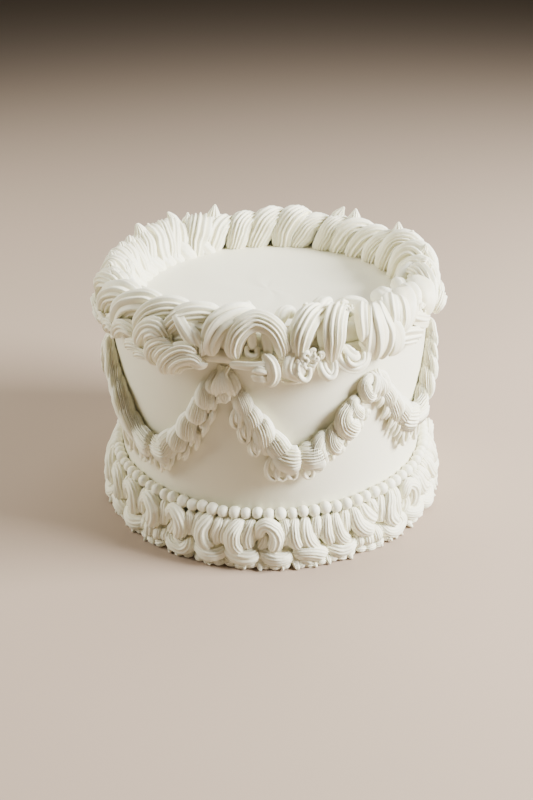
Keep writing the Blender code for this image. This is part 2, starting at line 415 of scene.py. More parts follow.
def makeCoat():
    rng = random.Random(coat["seed"])
    radius, height, edge = cakeRadius, cakeHeight, coat["edgeRound"]
    profile = [(radius, z) for z in np.linspace(0, height - edge, coat["sideRows"])]
    for bend in np.linspace(0, math.pi / 2, 7)[1:]:
        profile.append((radius - edge * (1 - math.cos(bend)), height - edge * (1 - math.sin(bend))))
    profile += [(r, height) for r in np.linspace(radius - edge, 2, coat["topRings"])[1:]]
    turn = coat["fullTurn"]
    waves = [(rng.randint(2, 9), rng.uniform(*coat["waveLengths"]), rng.uniform(0, turn), rng.uniform(0.3, 1))
             for _ in range(coat["waves"])]

    def drift(angle, along):
        total = sum(w * math.sin(n * angle + along / length * turn + phase)
                    for n, length, phase, w in waves)
        return coat["unevenness"] * total / len(waves) ** 0.5 - coat["unevenness"]

    bm = bmesh.new()
    rings = []
    for r, z in profile:
        ring = []
        for k in range(coat["sides"]):
            angle = math.tau * k / coat["sides"]
            if z < height - 0.01:
                place = (r + drift(angle, z) * min(1, z / 10)) * mm, z * mm
            else:
                place = r * mm, (z + coat["topShare"] * drift(angle, r + 200)) * mm
            ring.append(bm.verts.new((place[0] * math.sin(angle), -place[0] * math.cos(angle), place[1])))
        rings.append(ring)
    for lower, upper in zip(rings, rings[1:]):
        for k in range(coat["sides"]):
            after = (k + 1) % coat["sides"]
            bm.faces.new((lower[k], lower[after], upper[after], upper[k]))
    bm.faces.new(rings[0])
    bm.faces.new(rings[-1])
    bmesh.ops.recalc_face_normals(bm, faces=bm.faces)
    mesh = bpy.data.meshes.new("coat")
    bm.to_mesh(mesh)
    bm.free()
    mesh.shade_smooth()
    mesh.materials.append(smoothCream)
    return newObject("coat", mesh)


coatPiece = makeCoat()
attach(coatPiece, "root")
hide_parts("cake_body")
print("coat spread")


# Rim: bands laid in a spiral over the top edge, larger and looser to the front

rope = {"from": 84, "to": 214, "pitch": 11.4, "slant": 7.5, "flat": 0.3, "seed": 3,
        "sizes": (0.82, 1.05), "slants": (0.7, 1.2), "gaps": (0.86, 1.12)}
comb = {"from": 214, "to": 282, "pitch": 5.6, "slant": 6, "flat": 0,
        "sizes": (0.86, 1.08), "slants": (0.6, 1.3), "gaps": (0.8, 1.2)}
bandLine = [  # share of the slant, height, distance and thickness, from the outside to the inside
    (-0.75, 105.6, 78.4, 5), (-0.62, 111, 79, 6.4), (-0.28, 117.4, 77.2, 7.6),
    (0.05, 120.4, 73, 8.2), (0.42, 117.8, 69.2, 8.2), (0.72, 112, 67, 7.8), (0.95, 106.8, 66.2, 6.8),
    (1.05, 102.4, 66.4, 6)]
combLine = [  # the steeper, thinner bands of the back left
    (-0.3, 105.4, 79, 3.4), (-0.22, 111, 79.2, 4.2), (-0.05, 117, 77.6, 4.4),
    (0.12, 120.8, 74.8, 4.1), (0.34, 118, 71.6, 4.6), (0.6, 112.6, 69, 4.8), (0.85, 107.4, 67, 4.4),
    (0.95, 102.6, 66, 3.8)]
peaks = [  # angle, height of the tip and thickness of the pulled points
    (286.7, 123.5, 4), (276, 121.5, 3.4), (268.4, 124.8, 4.2), (256, 122.8, 3.2), (249, 124, 3.4),
    (241, 128.2, 5), (234.7, 125.6, 3.6), (228, 124.2, 3.6), (222, 127.8, 4.6), (215, 125.2, 3.6),
    (203, 127, 4.6), (149, 126.6, 4.2), (141.5, 127, 4), (117, 126.6, 4.2), (108, 126.6, 4.2),
    (92, 126.2, 4.2), (79, 124, 4.4)]
smear = ((0, 114, 71.6, 2.6), (0.6, 111, 69, 4.2), (0.4, 107.4, 66.4, 4.8), (-0.4, 104, 63.6, 4),
         (-0.8, 102.2, 61.2, 2.6))
smearAngles = (211, 222, 229, 235, 243, 250, 256, 264, 271, 279)


def freeStroke(rows, rng, steps=22, **shape):  # a stroke whose ridges start anywhere and drift
    return makeStroke(rows, steps, twist=rng.uniform(0, 6), swirl=rng.uniform(-0.35, 0.35), **shape)


def laid(lines, rng, steps, flat=0.0):
    return [freeStroke(rows, rng, steps, flat=flat) for rows in lines]


def hoop(height, distance, thick):
    return makeStroke([(angle, height, distance, thick) for angle in range(0, 361, 12)], 120)


def ropeBand(line, angle, size, slant, flat, rng):
    rows = []
    for share, height, distance, thick in line:
        rows.append((angle + slant * share + rng.uniform(-0.6, 0.6),
                     cakeHeight + (height - cakeHeight) * size + rng.uniform(-0.3, 0.3),
                     distance + rng.uniform(-0.5, 0.5), thick * size))
    return freeStroke(rows, rng, 30, flat=flat, endRound=0.35)


def bandsAlong(row, line, rng):
    made, angle = [], row["from"]
    while angle < row["to"]:
        size = rng.uniform(*row["sizes"])
        slant = row["slant"] * rng.uniform(*row["slants"])
        made.append(ropeBand(line, angle, size, slant, row["flat"], rng))
        angle += row["pitch"] * size * rng.uniform(*row["gaps"])
    return made


def peakStroke(angle, tip, thick, rng):
    lean = rng.uniform(-1.5, 1.5)
    rows = [(angle + 2, 112, 74.5, thick), (angle + 1, 118, 75.0, thick * 1.05),
            (angle, 122, 75.6, thick * 0.86), (angle + lean, tip - 1.8, 76.4, thick * 0.4),
            (angle + 1.6 * lean, tip, 76.8, 0.5)]
    return freeStroke(rows, rng, 20, endRound=0.1)


frontArcs = (  # angle, height, distance and thickness along each band of the front
    ((-83, 101, 78.4, 4.2), (-82, 109, 79.6, 5.4), (-77.8, 116.4, 78.6, 6.2), (-71.6, 118.6, 74.6, 6.2),
     (-67.5, 114, 71.6, 5)),
    ((-69.5, 100.5, 79.2, 4.2), (-68.4, 108.6, 80.4, 5.6), (-63.6, 116.8, 79.4, 6.6),
     (-57, 119.4, 75.4, 6.6), (-52.6, 114.4, 72.4, 5.2)),
    ((-57, 103, 79.6, 4.2), (-55.6, 110.4, 80.8, 5.6), (-50.8, 118, 79.2, 6.6), (-44, 120.2, 75, 6.4),
     (-39.6, 115.4, 72.2, 5.2)),
    ((-44, 106, 79.8, 4.2), (-42.6, 113.4, 80.6, 5.4), (-38, 119.8, 78.8, 6.2), (-31.6, 121.2, 74.8, 6),
     (-27.4, 116.4, 72.2, 4.8)),
    ((-32, 111, 79.8, 3.8), (-30.6, 116.4, 80.4, 5), (-26.4, 121, 78, 5.6), (-20.8, 121.2, 74, 5.4),
     (-17, 116.6, 71.2, 4.4)),
    ((-17.8, 105, 80, 3.8), (-17.6, 112, 80.8, 5.2), (-15, 119.2, 78.8, 6.4), (-9.5, 121.8, 74, 6.3),
     (-5, 117, 69, 5)),
    ((-10, 105, 81.2, 3.2), (-10.4, 112, 82.2, 4.4), (-8.4, 118.6, 81.2, 5.1), (-3.6, 122.2, 79.6, 5.3),
     (1.4, 119.2, 81.2, 4.9), (3.6, 112.6, 82.4, 4.2), (4.2, 105.4, 81.8, 3)),
    ((8.8, 103.5, 81.8, 2.4), (8.6, 109.5, 82.8, 4.4), (9.4, 116, 81.6, 6), (12.2, 120.4, 77.6, 6.2),
     (15.8, 120.4, 73, 5.6), (19, 116, 69.5, 4.6)),
    ((18.4, 101.2, 82.4, 2.2), (18, 107.5, 83.6, 4.6), (18.2, 113.8, 83, 6.3), (19.4, 119.2, 80, 6.6),
     (22, 120.4, 75.5, 5.8), (25, 116, 70, 4.8)),
    ((66, 106, 79.2, 4.4), (68, 112, 79.4, 5.2), (71, 117.2, 77, 5.8), (76, 118.2, 72.4, 5.6),
     (81, 112.6, 69.4, 4.6)),
)
innerShell = ((-5.2, 112.6, 71, 2.8), (-2.4, 116.6, 70.6, 4.2), (1.6, 117, 69.6, 4.6), (5.4, 112.6, 68, 3.2))
innerRow = {"from": -88, "to": -14, "pitch": 8.6}
panels = (  # broad smooth faces of the right, and the flat cream between them and the bulbs
    ((28, 113, 74, 4.6), (38, 114.4, 71.4, 5.8), (48, 115, 70, 6.4), (58, 115, 70, 6.4),
     (70, 113, 70.4, 5.2)),
    ((55, 115, 69, 4.6), (53.2, 118.2, 73.6, 6.2), (50.4, 117.4, 78.4, 6.8), (47.8, 112.4, 80.6, 6.8),
     (45.8, 106.8, 80.4, 5.6), (45.2, 103.2, 79.4, 3.6)),
    ((71, 114.6, 69.6, 4.4), (68.2, 117.8, 74.2, 5.8), (64.8, 115.8, 79.2, 6.5), (62.4, 110.2, 81, 6.2),
     (61, 105, 80, 4.4)),
    ((62, 116, 70, 3.4), (60, 118.6, 73.6, 4.4), (57.4, 117.4, 77.6, 4.4), (56, 112.8, 79.4, 3.8)),
)
frontPetals = (
    ((28.6, 108.5, 83.2, 1.8), (28.2, 113.5, 84.2, 2.9), (28.2, 119, 82.6, 3.4), (29.4, 122.8, 79.4, 3.2),
     (32, 122, 75.5, 2.6)),
    ((30.6, 100.5, 82.6, 2.4), (30.2, 106.5, 84.2, 3.6), (30.4, 113, 84.2, 3.9), (31.8, 119.5, 81.2, 3.6),
     (34.4, 121.8, 76.6, 3.2)),
    ((33, 98.6, 83, 2.6), (33.4, 105.5, 85.4, 4), (33.4, 112.5, 85.4, 4.4), (33.6, 119.2, 82.4, 4.2),
     (35.6, 122.2, 77, 3.6)),
    ((35.4, 98.2, 82.8, 2.6), (36.8, 104.8, 85.2, 4), (37, 111.6, 85, 4.3), (35.8, 118.4, 82.2, 4),
     (37.6, 122.2, 76.6, 3.4)),
    ((39.6, 97.4, 82.4, 2.8), (40.6, 103.2, 84.6, 4.4), (40.2, 109.6, 84.4, 4.5), (38, 116.4, 82, 4),
     (39.4, 121, 77, 3.4)),
    ((39.2, 110, 82.2, 2.4), (39.6, 116, 83.2, 3.6), (40.6, 121.4, 80.4, 3.8), (43.5, 123.4, 75.5, 3.4)),
    ((43.4, 107, 82.4, 2.4), (44.2, 112.8, 84, 3.4), (45.2, 118.6, 81.6, 3.6), (47, 121.6, 77, 3.2)),
)
leafBulbs = (
    ((47.4, 112, 74.4, 3), (48.6, 115.6, 71, 4.8), (50.2, 117, 66.8, 5.2), (52.2, 115.8, 62.6, 4.2),
     (53.4, 113, 60, 1.6)),
    ((60, 113.4, 71, 2.6), (64, 116, 68, 3.6), (67.6, 116, 64.4, 3.6), (69.2, 113.6, 62.2, 2)),
    ((72.6, 111.4, 63.6, 1.6), (75.6, 115, 64.8, 3.6), (80.4, 117.4, 67.2, 4.4), (86, 117.4, 70.4, 3.6),
     (90, 115.8, 73.6, 1.6)),
    ((28.6, 116, 59.6, 0.9), (31, 118, 60.6, 2.6), (34, 118.8, 63, 3.4), (37, 118, 66.2, 3.2),
     (39.2, 115.4, 69, 2.4)),
    ((16.4, 116, 70.4, 2.8), (18.6, 120.4, 67, 4.2), (21.6, 121.2, 64.4, 4.4), (24.4, 118.4, 64, 3)),
    ((3, 115.4, 69.4, 2.4), (5, 118.6, 65.4, 3.4), (7.6, 119, 63.6, 3.4), (9.8, 116.4, 64.8, 2.4)),
    ((26.4, 113.4, 65, 2), (28.8, 116.4, 64.8, 2.8), (31.6, 116.6, 67, 2.8), (33.6, 114.6, 70, 2)),
)

# Patches of crumbled cream: angles from and to, heights from and to, distance and count
rimCrumbs = ((-11.5, -6, 121.4, 124.4, 68.5, 10), (12, 15, 121, 123.4, 69, 6), (26, 30, 119.4, 122.6, 69, 9),
             (54.5, 58.5, 108.5, 113.5, 81, 9), (-88, -81, 111, 117, 79.4, 9), (208, 216, 117, 121, 73, 7),
             (44, 48, 117, 119.6, 71, 5))
curlCrumbs = ((8.6, 14, 103.8, 110.2, 86, 13), (52, 58, 98.5, 101.5, 81.4, 8), (-62, -58, 99, 104, 82.4, 5))


def crumbStrokes(patches, rng):
    made = []
    for first, last, low, high, distance, count in patches:
        for i in range(count):
            angle = first + (last - first) * (i + rng.random()) / count
            height = rng.uniform(low, high)
            turn = rng.uniform(0, 360)
            rows = []
            for step in range(4):
                bend = math.radians(turn + 75 * step)
                rows.append((angle + 1.1 * math.cos(bend), height + 1.5 * math.sin(bend),
                             distance + 0.4 * step + rng.uniform(-0.3, 0.3), 1.1 - 0.12 * step))
            made.append(freeStroke(rows, rng, 16))
    return made


def makeRim():
    rng = random.Random(rope["seed"])
    inside = makeStroke([(angle, 109.0, 68.6, 5.6) for angle in range(-18, 97, 12)], 60)
    core = [hoop(110.0, 74.4, 5.2), hoop(104.6, 78.6, 3.2), inside]  # nothing shows through the bands
    broad = bandsAlong(rope, bandLine, rng)
    slim = bandsAlong(comb, combLine, rng) + [peakStroke(*peak, rng) for peak in peaks]
    dragged, shells = [], []
    for angle in smearAngles:
        size = rng.uniform(0.8, 1.15)
        rows = [(angle + 3 * aside, height, distance, thick * size)
                for aside, height, distance, thick in smear]
        dragged.append(freeStroke(rows, rng, 24, flat=0.2))
    angle = innerRow["from"]
    while angle < innerRow["to"]:
        size = rng.uniform(0.85, 1.1)
        rows = [(angle + along * size, cakeHeight + (height - cakeHeight) * size, distance, thick * size)
                for along, height, distance, thick in innerShell]
        shells.append(freeStroke(rows, rng))
        angle += innerRow["pitch"] * size
    back = [
        pipe("rimBands", broad, "back", 1),
        pipe("rimComb", slim, "comb", 16),
    ]
    front = [
        pipe("rimShells", shells, "french", 17),
        pipe("rimPanels", laid(panels, rng, 30, 0.3), "panel", 13),
        pipe("rimSmears", dragged, "smear", 12),
        pipe("rimArcs", laid(frontArcs, rng, 34), "bold", 8),
        pipe("rimPetals", laid(frontPetals, rng, 28, 0.22), "star", 2),
        pipe("rimBulbs", laid(leafBulbs, rng, 24, 0.2), "bulb", 9),
    ]
    back.append(pipe("rimCore", core + crumbStrokes(rimCrumbs, rng), "strand", 10))
    return join("rimRope", back), join("rimFront", front)


for rimPiece in makeRim():
    settle(rimPiece, "rim_rope")


# Curls hanging from the rim

curls = {"from": 80, "to": 288, "pitch": 9.6, "centre": (82.2, 100.8), "reach": 4.2, "tube": 4.0,
         "seed": 13}


def curlBand(angle, size, rng):
    rows = []
    for turn in (215, 170, 125, 80, 35, -10):
        c, s = math.cos(math.radians(turn)), math.sin(math.radians(turn))
        rows.append((angle + math.degrees(curls["reach"] * size * c * 1.25 / curls["centre"][0]),
                     curls["centre"][1] + curls["reach"] * size * s * 0.95,
                     curls["centre"][0] + 1.2 * s, curls["tube"] * size * (0.8 + 0.2 * s)))
    return freeStroke(rows, rng)


frontCurls = (
    ((-72, 98, 81.4, 2.8), (-70.5, 102.5, 82.6, 3.8), (-67, 105.5, 82.8, 4), (-63.5, 103, 82, 3.2)),
    ((-64, 98.5, 82, 2.8), (-62.5, 103.5, 83.2, 3.9), (-58.5, 106.8, 83.4, 4.2), (-54.8, 104, 82.4, 3.4)),
    ((-56, 100.5, 82.6, 2.6), (-54.4, 105.4, 83.8, 3.6), (-50.6, 109.6, 84, 4), (-46.4, 109.4, 83.4, 3.6),
     (-44, 106, 82.4, 2.6)),
    ((-49.4, 99.2, 82.8, 2.4), (-46.8, 102.8, 84.4, 3.2), (-43, 104, 84.6, 3.2), (-40, 102, 83.6, 2.4)),
    ((-45.4, 97.4, 82.8, 2.4), (-42.6, 100.8, 84.6, 3.3), (-39.2, 101.6, 84.8, 3.2),
     (-36.4, 99.6, 83.8, 2.4)),
    ((-42.6, 102.5, 83.6, 3), (-41, 109, 84.6, 4.2), (-37.6, 114.6, 84.4, 4.8), (-33.8, 115.8, 84, 4.4),
     (-31.6, 111.8, 83.6, 3.4), (-31.4, 107, 83, 2.4)),
    ((-38.8, 107, 84.8, 2), (-37.2, 111.6, 86.4, 2.5), (-34.4, 113.8, 86.6, 2.6), (-32.2, 112, 85.8, 2.2)),
    ((-35.8, 96.8, 83.8, 2.4), (-37.2, 101.8, 85.2, 3.2), (-35.6, 107.4, 86, 3.4), (-32, 110.6, 85.4, 3.2),
     (-28.8, 110, 84.4, 2.6)),
    ((-34.4, 98.2, 84, 2.2), (-34, 103.2, 86, 2.9), (-31, 107.8, 86.4, 3), (-27.6, 109.6, 85.6, 2.6)),
    ((-32.8, 94, 83.6, 2.8), (-32.2, 99.6, 85.4, 3.6), (-29, 105.6, 86.2, 4), (-24.6, 109, 85.6, 3.8),
     (-21, 107.6, 84.6, 3)),
    ((-29.8, 94.8, 84, 2.2), (-29, 99.8, 86.2, 2.9), (-26, 104.2, 87, 3), (-22.4, 105.6, 86, 2.8),
     (-19.8, 102.8, 84.6, 2.2)),
    ((-28.2, 95.8, 83.2, 1.6), (-27, 99.4, 85, 2.1), (-24.4, 101.8, 85.6, 2.2), (-21.8, 101.8, 84.8, 1.8)),
)
flatRibbons = (
    ((-30, 122.6, 79.6, 2), (-27.4, 121.4, 82.6, 2.8), (-25.2, 118, 84.4, 3), (-23.2, 114, 84.8, 3),
     (-21.8, 110.6, 83.6, 2.6)),
    ((-26.4, 119.6, 81, 1.8), (-23.4, 117.6, 83.4, 2.4), (-21.2, 114, 84, 2.6), (-20.2, 109.6, 83.2, 2.2)),
    ((-11.6, 103.2, 83, 1.8), (-9.4, 103.8, 84.6, 2.1), (-5.2, 104.2, 86, 2.3), (-1.4, 104.6, 86, 2.3),
     (1.6, 104.6, 84.6, 1.8)),
)
frontRibbons = (
    ((-24.2, 112, 84, 2.4), (-23.2, 107.2, 85.2, 3.2), (-21.2, 103.4, 85.2, 3.1), (-18.2, 102.4, 83.8, 2.2)),
    ((-19.8, 114.6, 83.4, 1.5), (-19.2, 110.4, 84.4, 1.8), (-20, 106, 84, 1.4)),
    ((-2, 108.8, 83.6, 2.2), (0.4, 105.8, 86, 3), (1.2, 101, 86.6, 3.2), (0.3, 97.2, 85.8, 2.9),
     (-1.8, 95.6, 84.2, 2)),
    ((0.4, 100.6, 84.4, 1.8), (-1.6, 102.3, 86.6, 2.2), (-3.5, 102.6, 86.4, 2.2), (-4.6, 101.2, 84.6, 1.6)),
    ((0.4, 97.8, 84.4, 1.6), (-1.8, 98.6, 86.4, 2), (-3.9, 98.9, 86, 2), (-4.8, 97.8, 84.4, 1.5)),
    ((9.6, 109, 82.6, 2.2), (6.4, 107.4, 84.4, 2.7), (5.2, 103.8, 85.6, 2.9), (6, 100.2, 85.6, 2.7),
     (8.8, 97.8, 84.8, 2.2), (10.4, 96.8, 83.6, 1.6)),
    ((9.8, 107, 84, 2.4), (8, 103.6, 86, 3), (8.6, 99.8, 86.2, 2.7), (10.2, 98, 85, 2)),
    ((11.4, 109, 83.6, 2.4), (12.2, 105.4, 85, 2.8), (11.6, 101.8, 85, 2.4), (12.4, 98.8, 84, 1.6)),
    ((-35, 107.5, 80, 3.4), (-30, 111, 81, 4.4), (-25, 113.4, 80.6, 4.6), (-19, 112.6, 79.6, 3.6)),
    ((-30, 117.6, 78.6, 3), (-25, 118.4, 79.4, 3.8), (-20, 117.4, 79.4, 3.8), (-16, 115.4, 78.8, 3)),
    ((19.8, 109.6, 83.6, 1.8), (20.2, 104, 85.2, 2.3), (22.8, 99.8, 86, 2.5), (26.2, 98.6, 86, 2.4),
     (29, 101.4, 85.4, 2.1), (29.2, 106.2, 84.6, 1.9), (27.2, 110, 83.4, 1.5)),
    ((22.4, 109.5, 83, 2.2), (23, 106.4, 85, 3), (24.8, 104.4, 85.6, 3.2), (26.6, 105, 84.6, 2.4)),
    ((49.6, 112.2, 82.2, 2.2), (54, 109.2, 83.2, 2.7), (60, 105.6, 82.6, 2.6), (66, 102.8, 81, 1.8)),
    ((51, 109, 82, 1.9), (56, 105.4, 83, 2.3), (61.4, 102, 82.2, 2), (64, 100.4, 81, 1.4)),
    ((43.6, 106.6, 82.2, 1.8), (49, 105.6, 83.4, 2.2), (54, 103, 83, 2.1), (60, 98.8, 81.6, 1.2)),
    ((44, 103.4, 82.2, 1.8), (49.4, 102.2, 82.8, 2.1), (54.4, 100.2, 82.6, 1.9), (58.6, 97.2, 81.6, 1)),
    ((45.4, 100.6, 81.6, 1.3), (50, 99.2, 82.4, 1.6), (54.6, 97.4, 81.8, 1.1)),
)
frontStrands = (
    ((-6.6, 111.4, 80.6, 1.1), (-6.5, 108.4, 82, 1.3), (-5, 107.2, 82.6, 1.4), (-3.6, 108.4, 82.2, 1.3),
     (-3.7, 111.4, 80.8, 1.1)),
    ((-1.4, 118, 79.6, 2), (-0.6, 113, 80.6, 2.6), (-0.2, 107, 81, 2.2)),
    ((-5.2, 118, 79.8, 1.8), (-5.2, 114, 80.4, 2.3), (-4.8, 109.5, 80.2, 2)),
    ((7.6, 103.4, 86.6, 0.9), (8.1, 99.6, 88, 1.3), (9.6, 97.9, 88, 1.4), (10.9, 99.6, 87.4, 1.2),
     (11.3, 104, 86, 0.9)),
    ((14, 105.4, 84.2, 1.3), (14.7, 100.6, 85.8, 1.7), (16.4, 97.2, 86.4, 1.8), (18.2, 97.8, 86.2, 1.7),
     (19, 101.8, 85.2, 1.5), (18.7, 106, 84, 1.2)),
    ((15.4, 105, 84.4, 0.9), (15.9, 101.2, 86, 1.1), (17, 99.2, 86.4, 1.1), (18, 100.8, 85.8, 1),
     (18.1, 104.4, 84.6, 0.8)),
    ((13.6, 103, 83.8, 0.7), (14.9, 97.6, 84.8, 0.8), (17.2, 95, 84.8, 0.8), (19.4, 97, 84, 0.7)),
    ((2.6, 97, 82.4, 0.8), (5.2, 95.6, 83.8, 1), (8.6, 95.6, 84.2, 1), (11.2, 96.6, 83.4, 0.8)),
    ((22.2, 107.4, 85.6, 0.9), (22.4, 103.4, 87, 1.1), (24.4, 101.2, 87.6, 1.2), (27, 102.2, 87, 1.1),
     (27.8, 105.8, 86, 0.9)),
    ((50.4, 113.6, 82.2, 1.2), (52.2, 117.4, 82.6, 1.6), (54.4, 116.4, 82.2, 1.6), (53.8, 112.6, 82.4, 1.3)),
)


def makeCurls():
    rng = random.Random(curls["seed"])
    bands = []
    angle = curls["from"]
    while angle < curls["to"]:
        bands.append(curlBand(angle, rng.uniform(0.9, 1.08), rng))
        angle += curls["pitch"] * rng.uniform(0.9, 1.1)
    parts = [
        pipe("curlBands", bands, "shell", 3),
        pipe("curlCluster", laid(frontCurls, rng, 26, 0.1), "cluster", 14),
        pipe("curlFlats", laid(flatRibbons, rng, 24, 0.55), "ribbon", 15),
        pipe("curlRibbons", laid(frontRibbons, rng, 24, 0.3), "star", 4),
        pipe("curlStrands", laid(frontStrands, rng, 24) + crumbStrokes(curlCrumbs, rng), "strand", 5),
    ]
    return join("rimCurls", parts)


settle(makeCurls(), "rim_under_shells")


# Swags

garlands = {
    "peaks": [(-76, 86), (-14.5, 97), (36, 88), (86, 88), (136, 87), (185, 88.5), (234.5, 87), (284, 86)],
    "lows": [(-42, 52.0), (9.5, 56.5), (58, 57.5), (111, 56), (160, 57.5), (211, 55), (258, 56.0)],
    "shape": ((0, 0.15, 0.3, 0.45, 0.6, 0.8, 1), (0, 0.01, 0.07, 0.2, 0.4, 0.68, 1)),
    "spacing": 8.2, "fans": (-5.4, 4.4), "seed": 31,
    "ends": (6.5, 6.0), "arms": (12.4, 10.4),  # how far the pleats stay from the peaks and the low point
    "broad": {(1, -1): 1.36, (3, 1): 1.28, (7, 1): 1.3},  # wider arms: swag and side of its low point
    "curled": 2, "tasselled": 3,
    "loops": ((1, -4.2, 1.15), (1.6, -3.2, 0.7)),  # along, across and size of those below each pleat
    "lowLoops": ((-1.6, -5, 1.15), (1.8, -4.6, 0.9)),  # and below each fan
}
# Pleats lie down the arms with their free ends lowest: along, across, off the wall, thickness
pleat = ((-7.4, 2, 0.2, 2.4), (-4, 2.6, 1.4, 4.4), (-0.4, 1.8, 2.6, 5.8), (2.6, -0.4, 3.2, 5.8),
         (5, -2.2, 2.8, 4))
lengthwise = ((-9, 1.4, 0.2, 2.6), (-5, 1.8, 1.8, 4.8), (-0.6, 1.2, 2.8, 5.6), (3, -0.4, 2.8, 5),
              (6, -2.6, 2.4, 3.2), (8, -4.8, 1.8, 1.4))
fan = ((-5.6, -0.4, 1.4, 5.8), (-2.2, -0.6, 3, 7.2), (1.6, -1, 3.8, 7.9), (5, -1.6, 3.6, 7.4))
hooked = ((-7.6, 1.6, 0.6, 2.4), (-4.2, 3.6, 1.8, 3.2), (-0.6, 4, 2.8, 3.8), (2.2, 1.8, 3.4, 4.6),
          (2.6, -2, 3.4, 5.2), (1.4, -5.4, 2.6, 4.6))
# Strands hang from the lower edge: sideways, down, off the wall, thickness
hangingLoop = ((0.2, 2.4, 1.8, 0.9), (-1.6, -0.8, 3, 1.05), (-2.4, -4.4, 3.4, 1.1), (-1.4, -7.6, 3, 1.15),
               (0.9, -8.6, 2.8, 1.1), (2, -5.6, 3.4, 1.05), (1.7, -1.6, 3.4, 1), (1.9, 1.6, 2.6, 0.9))
hangingTail = ((0.9, 2, 1.8, 1), (0.9, -1.4, 2.6, 1.15), (0, -4.4, 2.4, 1.1), (-1.6, -7.4, 1.6, 0.5))
# Threads fanning down from a peak: sideways, down, off the wall, thickness
bunch = ((0.7, 3, 0.6, 0.5), (0.3, 0.4, 3.4, 1.05), (0.7, -3, 4.6, 1.15), (1, -6.6, 4.4, 1.1),
         (1.2, -9.4, 3.2, 0.5))
fray = ((-1.8, 0, 2.4, 0.8), (0.2, 0.1, 2.6, 0.8), (1.4, 0.3, 1.8, 0.3))


def garlandLine(first, low, last):
    angles = np.linspace(first[0], last[0], 500)
    right = angles > low[0]
    top = np.where(right, last[1], first[1])
    reach = np.where(right, last[0] - low[0], first[0] - low[0])
    heights = low[1] + (top - low[1]) * np.interp(np.abs((angles - low[0]) / reach), *garlands["shape"])
    heights = np.convolve(np.pad(heights, 12, "edge"), np.ones(25) / 25, "valid")
    flat = np.column_stack([np.radians(angles) * cakeRadius, heights])  # unrolled side
    run = np.concatenate([[0], np.cumsum(np.hypot(*np.diff(flat, axis=0).T))])
    return run, flat


def besideLine(run, flat, along, across):
    x, z = (np.interp(along, run, column) for column in flat.T)
    slope = np.array([np.interp(along + 1.5, run, column) - np.interp(along - 1.5, run, column)
                      for column in flat.T])
    slope /= max(np.hypot(*slope), 1e-6)
    return math.degrees((x - slope[1] * across) / cakeRadius), z + slope[0] * across


